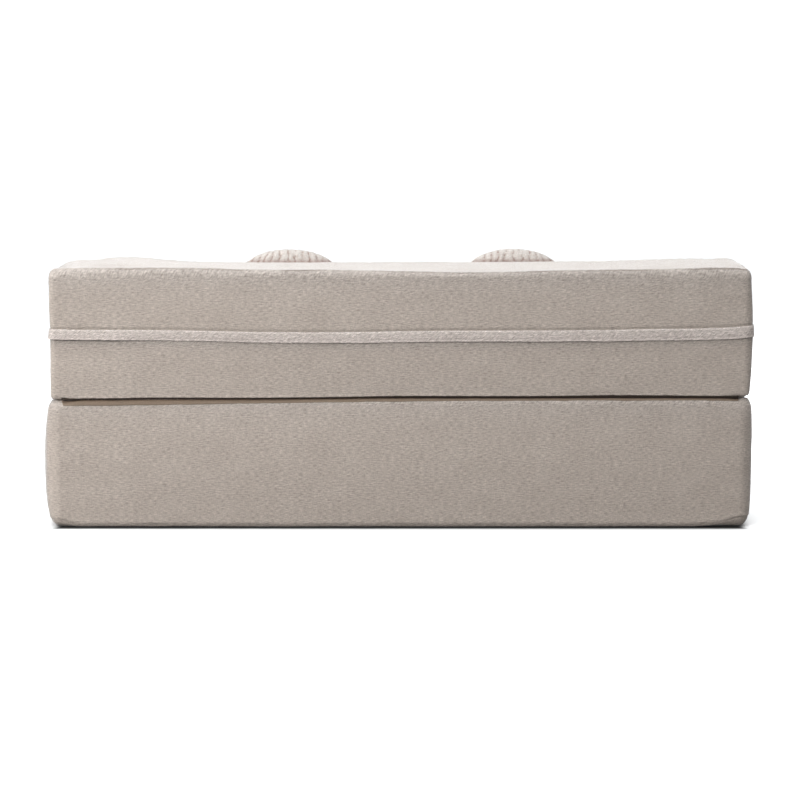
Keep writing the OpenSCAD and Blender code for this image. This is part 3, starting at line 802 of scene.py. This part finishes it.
def make_cushion(name, node, filling, pillow, seed):
    """Ribbed plush cover on a pillow: upright ribs that waver, tufts, and a seam drawn in round the rim."""
    points, faces, u, v = pillow
    points = points.copy()
    x, z, y = points[:, 0] / MM, points[:, 2] / MM, points[:, 1] / MM
    rim = np.maximum(np.abs(u), np.abs(v))
    way = u * RIB_COUNT / 2 + 0.45 * noise(u * 4, v * 2.5, 0, seed)
    way += 0.28 * noise(u * 10, v * 12, 0, seed + 5)
    valley = np.abs(way - np.round(way)) * 2
    depth = 1 - np.sqrt(1 - (0.985 * valley) ** 2)
    tuft = uneven(x, z, y, [(1, (11, 13, 12), seed + 1), (0.6, (5, 6, 6), seed + 2)])
    swell = uneven(x, z, y, [(2.0 * MM, (120, 120, 120), seed + 3)])
    seam = bell((1 - rim) / 0.012)
    amount = -RIB_DEPTH * depth * smooth((1 - rim) / 0.04) - 2 * MM * seam + 0.75 * MM * tuft + swell
    points += normals(points, faces) * (amount - 1.2 * MM)[:, None]
    placed = clear_of(leaned_back(points, node), filling, 1.5 * MM)
    obj = new_mesh(name, placed, faces)
    add_cloth(obj, points)
    # How deep each point lies in a valley between ribs, which the material paints darker, partly as painted
    # shade
    add_number(obj, "valley", depth)
    # Painted shade along the cushion's rear where it rises over the backrest's top edge
    over_edge = placed[:, 2] - BACK_HIGH[2] - MM * curve(placed[:, 0], TOP_LINE)
    add_number(obj, "painted_shade", np.where(points[:, 1] > 0, bell(over_edge / (6 * MM)), 0))
    return obj


# Rows round a cushion's zip, in millimetres: place across it, height, and which teeth stand up there
CLOSURE_ROWS = [(-7, 0.2, 0), (-6.6, 0.8, 0), (-3.4, 0.8, 0), (-2.8, 1.4, 1), (-0.6, 1.4, 1), (0, 0.9, 0),
                (0.6, 1.4, -1), (2.8, 1.4, -1), (3.4, 0.8, 0), (6.6, 0.8, 0), (7, 0.2, 0), (7, -0.8, 0),
                (0, -0.8, 0), (-7, -0.8, 0)]


def make_cushion_zip(name, node, pillow):
    """Closed zip along the bottom seam of a cushion: two tapes and the meshed teeth between them."""
    points, _, _, v = pillow
    rim = points[v < v.min() + 1e-4]
    rim = rim[np.argsort(rim[:, 0])]
    curl_most, curl_power = 78 * MM, 1.67
    x = np.arange(-CUSHION_ZIP_L / 2, CUSHION_ZIP_L / 2, TOOTH)
    odd = np.arange(len(x)) % 2
    rows = []
    for y, height, tooth in CLOSURE_ROWS:
        curl = curl_most * (abs(y) * MM / (CUSHION_SIZE[1] / 2)) ** curl_power
        raised = height + 0.6 * np.where(tooth > 0, odd, 1 - odd) * abs(tooth)
        z = np.interp(x, rim[:, 0], rim[:, 2]) + curl - raised * MM
        rows.append(leaned_back(np.column_stack([x, y * MM + 0 * x, z]), node))
    return new_tube(name, np.array(rows))


# Materials

WHITE = (1, 1, 1)


def shades(colour, low, high):
    return [(0.0, tuple(c * low for c in colour)), (1.0, tuple(c * high for c in colour))]


class Nodes:
    """Node tree of a new material with one Principled shader, and short ways to add to it."""

    def __init__(self, name, roughness=0.9, metallic=0.0, sheen=0.0, sheen_roughness=0.4):
        self.material = bpy.data.materials.new(name)
        self.material.use_nodes = True
        self.tree = self.material.node_tree
        self.shader = self.tree.nodes["Principled BSDF"]
        self.set(self.shader, {"Base Color": (0.5, 0.5, 0.5, 1), "Roughness": roughness, "Metallic": metallic,
                               "Sheen Weight": sheen, "Sheen Roughness": sheen_roughness})

    def new(self, kind):
        return self.tree.nodes.new("ShaderNode" + kind)

    def set(self, node, values):
        for key, value in values.items():
            node.inputs[key].default_value = value

    def link(self, source, node, key):
        self.tree.links.new(source, node.inputs[key])

    def put(self, value, node, key):
        """Sets an input to a number, or links an output to it."""
        if isinstance(value, (int, float)):
            node.inputs[key].default_value = value
        else:
            self.link(value, node, key)

    def attribute(self, name, output="Vector"):
        node = self.new("Attribute")
        node.attribute_name = name
        return node.outputs[output]

    def own_place(self):
        """Place on the object itself, in metres."""
        return self.new("TexCoord").outputs["Object"]

    def mapped(self, vector, size, turn=0.0):
        """Coordinates in which a pattern's features have the given sizes, in millimetres."""
        node = self.new("Mapping")
        turned = vector
        if turn:
            spin = self.new("Mapping")
            spin.inputs["Rotation"].default_value = (0, 0, turn)
            self.link(vector, spin, "Vector")
            turned = spin.outputs["Vector"]
        node.inputs["Scale"].default_value = tuple(1 / (s * MM) for s in size)
        self.link(turned, node, "Vector")
        return node.outputs["Vector"]

    def noise(self, vector, size, detail=2.0, roughness=0.5, turn=0.0):
        node = self.new("TexNoise")
        self.set(node, {"Scale": 1.0, "Detail": detail, "Roughness": roughness})
        self.link(self.mapped(vector, size, turn), node, "Vector")
        return node.outputs["Fac"]

    def maths(self, operation, a, b=0.0):
        node = self.new("Math")
        node.operation = operation
        self.put(a, node, 0)
        self.put(b, node, 1)
        return node.outputs[0]

    def ramp(self, value, stops):
        """Colour or brightness that follows a value, from (place, colour) stops."""
        node = self.new("ValToRGB")
        for k, (place, colour) in enumerate(stops):
            element = node.color_ramp.elements[k] if k < 2 else node.color_ramp.elements.new(place)
            element.position = place
            element.color = (*colour, 1)
        self.link(value, node, "Fac")
        return node.outputs["Color"]

    def mix(self, a, b, factor=1.0):
        """The product of two colours, or by factor less than that."""
        node = self.new("Mix")
        node.data_type = "RGBA"
        node.blend_type = "MULTIPLY"
        self.put(factor, node, 0)
        self.link(a, node, 6)
        self.link(b, node, 7)
        return node.outputs[2]

    def graded(self, colour, value, low, high):
        """A colour that a value makes darker and lighter."""
        return self.mix(colour, self.ramp(value, shades(WHITE, low, high)))

    def tinted(self, colour, name, tint):
        """A colour that takes on a tint where the attribute of that name is 1."""
        return self.mix(colour, self.ramp(self.attribute(name, "Fac"), [(0.0, WHITE), (1.0, tint)]))

    def bump(self, layers):
        """Relief from (height, depth in millimetres) layers."""
        normal = None
        for height, depth in layers:
            node = self.new("Bump")
            self.set(node, {"Strength": 1.0, "Distance": depth * MM})
            self.link(height, node, "Height")
            if normal is not None:
                self.link(normal, node, "Normal")
            normal = node.outputs["Normal"]
        self.link(normal, self.shader, "Normal")

    def colour(self, source):
        self.link(source, self.shader, "Base Color")


# Brightness of the upholstery from the foot of its pile to its tips and of its nap, and the painted light and
# shade of its creases
YARN_TINTS = [(0.0, (0.30, 0.27, 0.25)), (1.0, (1.69, 1.74, 1.79))]
NAP_TINTS = [(0.0, (0.88, 0.86, 0.85)), (1.0, (1.12, 1.12, 1.12))]
CREASE_PAINTED_LIGHT = [(0.0, (0.33, 0.31, 0.30)), (1.0, (1.60, 1.68, 1.76))]


def chenille(name, colour, crinkled=1.0):
    """Upholstery cloth: level yarns over a warp, painted light and shade of slanted creases where it is
    gathered, and a cloudy nap.
    """
    n = Nodes(name, roughness=0.93, sheen=1.0, sheen_roughness=0.3)
    cloth = n.attribute("cloth")
    yarn = n.noise(cloth, (13, 2.9, 1000), 3.0, 0.6)
    warp = n.noise(cloth, (2.6, 9, 1000), 2.0, 0.5)
    crease = n.noise(cloth, (13, 2.6, 1000), 1.5, 0.5, 0.7)
    nap = n.noise(cloth, (90, 60, 1000), 4.0, 0.6)
    threads = [(place, tuple(c * k for c, k in zip(colour, tint))) for place, tint in YARN_TINTS]
    mixed = n.mix(n.ramp(yarn, threads), n.ramp(nap, NAP_TINTS))
    mixed = n.graded(mixed, warp, 0.78, 1.22)
    # Painted light and shade of creases where the cloth is gathered
    mixed = n.mix(mixed, n.ramp(crease, CREASE_PAINTED_LIGHT), n.attribute("painted_crease_light", "Fac"))
    # Dark seam thread with painted shade along the seams and under the flap
    mixed = n.tinted(mixed, "seam_and_painted_shade", (0.45, 0.42, 0.40))
    # Painted highlight on the lower lips
    mixed = n.tinted(mixed, "wear_and_highlight", (1.18, 1.18, 1.18))
    # Flat underside coloured almost black
    n.colour(n.tinted(mixed, "under", (0.05, 0.05, 0.055)))
    n.bump([(crease, 1.6 * crinkled), (yarn, 1.4), (warp, 0.6)])
    return n.material


def plush(name, crest, foot):
    """Ribbed plush: pale tufts on the ribs and a darker, pinker ground between them, partly painted shade of
    the valleys.
    """
    n = Nodes(name, roughness=0.95, sheen=0.4, sheen_roughness=0.4)
    cloth = n.attribute("cloth")
    valley = n.attribute("valley", "Fac")
    tuft = n.noise(cloth, (4, 4, 5), 4.0, 0.65)
    patch = n.noise(cloth, (9, 9, 26), 2.0, 0.6)
    hair = n.noise(cloth, (2.2, 2.2, 14), 2.0, 0.6)
    ground = n.maths("MULTIPLY", valley, n.maths("SUBTRACT", n.maths("MULTIPLY", patch, 3.6), 1.15))
    ground = n.maths("ADD", ground, n.maths("MULTIPLY", n.maths("SUBTRACT", tuft, 0.45), 1.6))
    mixed = n.graded(n.ramp(ground, [(0.0, crest), (0.8, foot)]), tuft, 0.6, 1.3)
    mixed = n.graded(mixed, hair, 0.55, 1.45)
    # Painted shade along the rear over the backrest's edge
    n.colour(n.tinted(mixed, "painted_shade", (0.74, 0.65, 0.63)))
    n.bump([(tuft, 3), (hair, 1.2)])
    return n.material


def plain_cloth(name, colour, thread=1, roughness=0.85, painted_depth_shade=None):
    """Plain woven cloth, its threads along the object's own axes. Its last argument holds painted shade over
    its depth.
    """
    n = Nodes(name, roughness=roughness, sheen=0.15)
    place = n.own_place()
    warp = n.noise(place, (thread, 6 * thread, 6 * thread), 1.0, 0.5)
    weft = n.noise(place, (6 * thread, thread, thread), 1.0, 0.5)
    cloudy = n.noise(place, (60,) * 3, 3.0, 0.5)
    mixed = n.graded(n.ramp(warp, shades(colour, 0.8, 1.2)), weft, 0.85, 1.15)
    mixed = n.graded(mixed, cloudy, 0.92, 1.08)
    # Painted shade over the depth
    if painted_depth_shade:
        mixed = n.mix(mixed, n.ramp(n.attribute("depth", "Fac"), painted_depth_shade))
    n.colour(mixed)
    n.bump([(warp, 0.3), (weft, 0.3)])
    return n.material


def foam(name, colour):
    """Cut foam with open cells."""
    n = Nodes(name, roughness=0.95)
    place = n.own_place()
    cell = n.new("TexVoronoi")
    n.link(n.mapped(place, (3,) * 3), cell, "Vector")
    cloudy = n.noise(place, (40,) * 3, 3.0, 0.6)
    n.colour(n.graded(n.ramp(cell.outputs["Distance"], shades(colour, 0.72, 1.1)), cloudy, 0.9, 1.1))
    n.bump([(cell.outputs["Distance"], 1.0)])
    return n.material


def metal(name, colour):
    """Satin zinc with faint wear."""
    n = Nodes(name, roughness=0.35, metallic=1.0)
    place = n.own_place()
    grain = n.noise(place, (4, 0.4, 0.4), 3.0, 0.6)
    wear_and_highlight = n.noise(place, (5,) * 3, 3.0, 0.6)
    n.colour(n.graded(n.ramp(grain, shades(colour, 0.85, 1.1)), wear_and_highlight, 0.85, 1.05))
    n.link(n.maths("ADD", n.maths("MULTIPLY", wear_and_highlight, 0.25), 0.22), n.shader, "Roughness")
    n.bump([(grain, 0.05)])
    return n.material


def dotted_sole(name, colour, dot):
    """Underside cloth with a grid of grip dots."""
    n = Nodes(name, roughness=0.8)
    place = n.own_place()
    weave = n.noise(place, (1.2, 5, 5), 1.0, 0.5)
    cell = n.new("TexVoronoi")
    cell.voronoi_dimensions = "2D"
    n.set(cell, {"Scale": 1.0, "Randomness": 0.0})
    n.link(n.mapped(place, (8,) * 3), cell, "Vector")
    bead = n.maths("LESS_THAN", cell.outputs["Distance"], 0.24)
    n.colour(n.mix(n.ramp(weave, shades(colour, 0.8, 1.25)), n.ramp(bead, [(0.0, WHITE), (1.0, dot)])))
    n.bump([(weave, 0.3), (bead, 0.6)])
    return n.material


BODY = (0.517, 0.446, 0.388)
# The flap's upholstery is painted lighter than the body, as light falls on its upturned face
FLAP_PAINTED_LIGHT = (1.25, 1.25, 1.28)
# Painted shade over the facing's depth, darkest by the joint, for the recess under the backrest
FACING_PAINTED_SHADE = [(0.0, (0.42, 0.38, 0.35)), (0.45, (0.70, 0.68, 0.66)), (1.0, (1.0, 1.05, 1.1))]

upholstery = chenille("chenille", BODY)
# Lighter copy of the upholstery, painted light for the flap
flap_cloth_painted_lighter = chenille("flap_chenille_painted_lighter", tuple(c * k for c, k in zip(BODY, FLAP_PAINTED_LIGHT)), 1.4)
# Near-black hinge cloth; its darkness also serves as painted shade in the joint between the blocks
hinge_cloth = plain_cloth("hinge_webbing", (0.035, 0.022, 0.014), 1.2)
# Brown facing cloth, partly painted shade of the recess
facing_cloth_and_shade = plain_cloth("hinge_facing_cloth", (0.27, 0.195, 0.138), 1.2, painted_depth_shade=FACING_PAINTED_SHADE)
# Crest colour, and the darker, pinker valley colour that also holds painted shade
cushion_plush = plush("ribbed_plush", (0.75, 0.705, 0.66), (0.33, 0.22, 0.175))
liner_cloth = plain_cloth("liner_cloth", (0.78, 0.76, 0.72))
firm_foam = foam("firm_foam", (0.72, 0.64, 0.38))
soft_foam = foam("soft_foam", (0.86, 0.80, 0.66))
filling_fibre = foam("filling_fibre", (0.9, 0.88, 0.84))
sole_cloth = dotted_sole("sole_cloth", (0.085, 0.08, 0.075), (0.35, 0.35, 0.35))
tape_cloth = plain_cloth("zip_tape", (0.32, 0.28, 0.25), 0.8)
teeth_nylon = plain_cloth("zip_teeth", (0.26, 0.23, 0.20), 1.4, 0.45)
zinc = metal("satin_zinc", (0.70, 0.71, 0.72))

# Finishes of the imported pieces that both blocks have
BLOCK_FINISH = {"liner": liner_cloth, "firm_foam": firm_foam, "soft_foam": soft_foam, "zip_tapes": tape_cloth,
                "zip_teeth": teeth_nylon, "zip_stops": zinc, "zip_slider": zinc}


def dress(obj, material):
    obj.data.materials.clear()
    obj.data.materials.append(material)


for piece, finish in BLOCK_FINISH.items():
    dress(frame["nodes"]["base_" + piece], finish)
    dress(frame["nodes"]["backrest_" + piece], finish)
dress(frame["nodes"]["backrest_zip_pull"], zinc)
dress(frame["nodes"]["anti_slip_sole"], sole_cloth)
dress(frame["nodes"]["cushion_left_filling"], filling_fibre)
dress(frame["nodes"]["cushion_right_filling"], filling_fibre)

base, base_block = make_base()
dress(base, upholstery)
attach(base, "base")
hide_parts("base_cover")

backrest, backrest_block = make_backrest()
dress(backrest, upholstery)
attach(backrest, "backrest")
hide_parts("backrest_cover")

flap = make_flap(backrest_block)
dress(flap, flap_cloth_painted_lighter)
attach(flap, "backrest")
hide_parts("zip_flap_rear", "zip_flap_left", "zip_flap_right")

hinge, (hinge_y, hinge_z) = make_hinge()
dress(hinge, hinge_cloth)
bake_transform(hinge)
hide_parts("hinge_leaf_base", "hinge_leaf_backrest")

facing = make_facing(base, base_block, BASE_TOP_EDGE_R)
dress(facing, facing_cloth_and_shade)
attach(facing, "base")

pillow = make_pillow()
for side, seed in (("left", 70), ("right", 80)):
    cushion = make_cushion(f"cushion_{side}_plush", f"cushion_{side}_cover", f"cushion_{side}_filling",
                           pillow, seed)
    dress(cushion, cushion_plush)
    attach(cushion, f"cushion_{side}")
    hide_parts(f"cushion_{side}_cover")
    closure = make_cushion_zip(f"cushion_{side}_closure", f"cushion_{side}_cover", pillow)
    dress(closure, tape_cloth)
    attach(closure, f"cushion_{side}")
    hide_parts(f"cushion_{side}_zip")


# Floor, light and camera

# Brightness of the floor away from the base's foot, over shares of the shade's reach
SHADE_REACH = 80 * MM
SHADE_STOPS = [(0.20, 0.003), (0.28, 0.1), (0.37, 0.4), (0.46, 0.7), (0.65, 0.9), (0.95, 1.0)]
# How far the shade starts inside the base's ends and front
END_INSET = 42 * MM
FRONT_INSET = 11 * MM


def make_stage(name, points, faces, brightness, glow, seen, painted_shade=False):
    """Floor or backdrop. A seen one gives the object no light, and an unseen one gives bounce light. The
    floor can get a painted contact shadow beside the base's foot.
    """
    obj = new_mesh(name, points, faces)
    n = Nodes(name + "_finish", roughness=0.9)
    place = n.own_place()
    paint = n.ramp(n.noise(place, (800,) * 3), shades((brightness,) * 3, 0.98, 1.02))
    n.set(n.shader, {"Emission Color": (*WHITE, 1), "Emission Strength": glow})
    if painted_shade:
        shade = contact_shade(n, place)
        paint = n.mix(paint, shade)
        n.link(shade, n.shader, "Emission Color")
    n.colour(paint)
    dress(obj, n.material)
    obj.visible_camera = seen
    obj.visible_diffuse = obj.visible_glossy = obj.visible_shadow = not seen


def contact_shade(n, place):
    """Dark beside the base's foot, white a hand's width away."""
    split = n.new("SeparateXYZ")
    n.link(place, split, "Vector")
    waver = n.maths("MULTIPLY", n.noise(place, (70,) * 3), 4 * MM)
    beside = n.maths("SUBTRACT", n.maths("ABSOLUTE", split.outputs["X"]), float(BASE_HIGH[0]) - END_INSET)
    behind = n.maths("SUBTRACT", split.outputs["Y"], float(BASE_HIGH[1]))
    before = n.maths("SUBTRACT", float(BASE_LOW[1]) + FRONT_INSET, split.outputs["Y"])
    away = n.maths("ADD", n.maths("MAXIMUM", beside, n.maths("MAXIMUM", behind, before)), waver)
    stops = [(share, (level,) * 3) for share, level in SHADE_STOPS]
    return n.ramp(n.maths("DIVIDE", away, SHADE_REACH), stops)


def square(size, z):
    return [(-size, -size, z), (size, -size, z), (size, size, z), (-size, size, z)], [(0, 1, 2, 3)]


def make_backdrop(size):
    """White walls and ceiling all round, which the studio light passes through."""
    points = square(size, -1)[0] + square(size, size)[0]
    faces = [(0, 1, 5, 4), (1, 2, 6, 5), (2, 3, 7, 6), (3, 0, 4, 7), (4, 5, 6, 7)]
    make_stage("backdrop", points, faces, 0.9, 1.0, True)


def new_light(name, kind, place, power):
    lamp = bpy.data.lights.new(name, kind)
    lamp.energy = power
    obj = bpy.data.objects.new(name, lamp)
    obj.location = place
    scene.collection.objects.link(obj)
    return obj, lamp


def area_light(name, place, aim, size, power):
    obj, lamp = new_light(name, "AREA", place, power)
    lamp.shape = "RECTANGLE"
    lamp.size, lamp.size_y = size
    obj.rotation_euler = (Vector(aim) - Vector(place)).to_track_quat("-Z", "Y").to_euler()
    obj.visible_camera = False


def overhead_light(strength, spread):
    _, lamp = new_light("overhead", "SUN", (0, 0, 4), strength)
    lamp.color = (0.94, 0.985, 1.02)
    lamp.angle = spread


def set_world(strength):
    world = bpy.data.worlds.new("studio")
    world.use_nodes = True
    background = world.node_tree.nodes["Background"]
    background.inputs["Color"].default_value = (*WHITE, 1)
    background.inputs["Strength"].default_value = strength
    scene.world = world


CAMERA_BACK = 7.0
CAMERA_HEIGHT = 1.1994
CAMERA_PITCH = math.radians(6.966)
PHOTO_FOCAL_PX = 2640
PHOTO_PX = 800


def make_camera():
    camera = bpy.data.cameras.new("camera")
    camera.sensor_width = 36.0
    camera.lens = camera.sensor_width * PHOTO_FOCAL_PX / PHOTO_PX
    camera.clip_end = 200
    obj = bpy.data.objects.new("camera", camera)
    obj.location = (0, BASE_HIGH[1] + CAMERA_BACK, CAMERA_HEIGHT)
    aim = Vector((0, -math.cos(CAMERA_PITCH), -math.sin(CAMERA_PITCH)))
    obj.rotation_euler = aim.to_track_quat("-Z", "Y").to_euler()
    scene.collection.objects.link(obj)
    scene.camera = obj


# Each area light's place, what it is aimed at, its size and its power in watts
LIGHTS = {
    "rear_key": ((2.4, 3.8, 2.7), (0, 0.3, 0.35), (3.0, 2.5), 160),
    "front_fill": ((-1.6, -3.6, 2.6), (0, 0, 0.4), (3.0, 2.0), 90),
    "left_side": ((4.5, 0.6, 1.6), (0.9, 0.3, 0.4), (2.0, 2.0), 60),
    "right_side": ((-4.5, 1.0, 1.4), (-0.9, 0.3, 0.4), (2.0, 2.0), 10),
}

make_stage("floor", *square(60, 0), 0.96, 0.18, True, True)
make_stage("floor_bounce", *square(60, -0.1 * MM), 0.10, 0, False)
make_backdrop(50)
set_world(0.35)
for light, settings in LIGHTS.items():
    area_light(light, *settings)
overhead_light(1.95, math.radians(50))
make_camera()
scene.view_settings.view_transform = "Standard"
